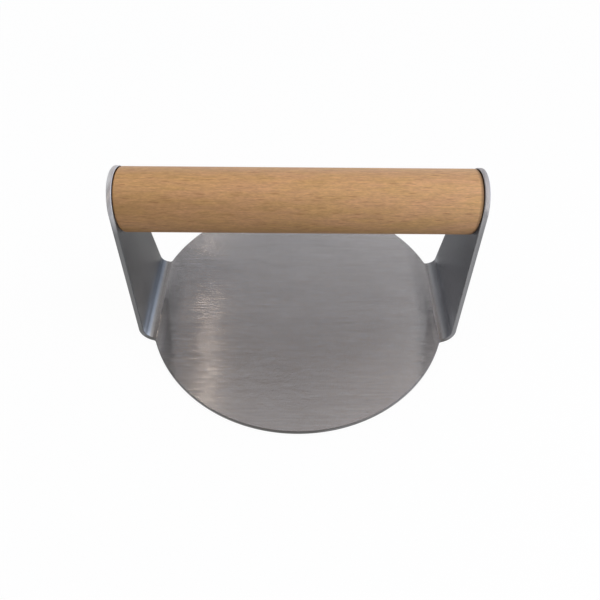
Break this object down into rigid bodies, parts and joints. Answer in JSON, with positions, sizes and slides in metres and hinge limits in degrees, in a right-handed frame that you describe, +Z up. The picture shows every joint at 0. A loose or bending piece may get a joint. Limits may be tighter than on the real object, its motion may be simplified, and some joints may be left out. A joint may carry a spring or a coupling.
{
  "type": "patty press",
  "caption": "Round flat press for flattening minced-meat patties on a hot plate: a bent sheet-steel disc with upright ears and a wooden bar handle screwed between them.",
  "frame": {"origin": "centre of the pressing face, on the surface that the press stands on", "axes": "+X along the handle, +Y across it, away from the viewer of the picture, +Z up"},
  "size_m": [0.1506, 0.14, 0.0767],
  "materials": {
    "plate_steel": "brushed along the handle",
    "handle_wood": "oiled satin",
    "insert_brass": "turned",
    "screw_steel": "plain stainless"
  },
  "bodies": {
    "root": {"press_plate": "plate_steel", "handle": "handle_wood", "left_insert": "insert_brass", "right_insert": "insert_brass", "left_screw": "screw_steel", "right_screw": "screw_steel"}
  },
  "joints": []
}
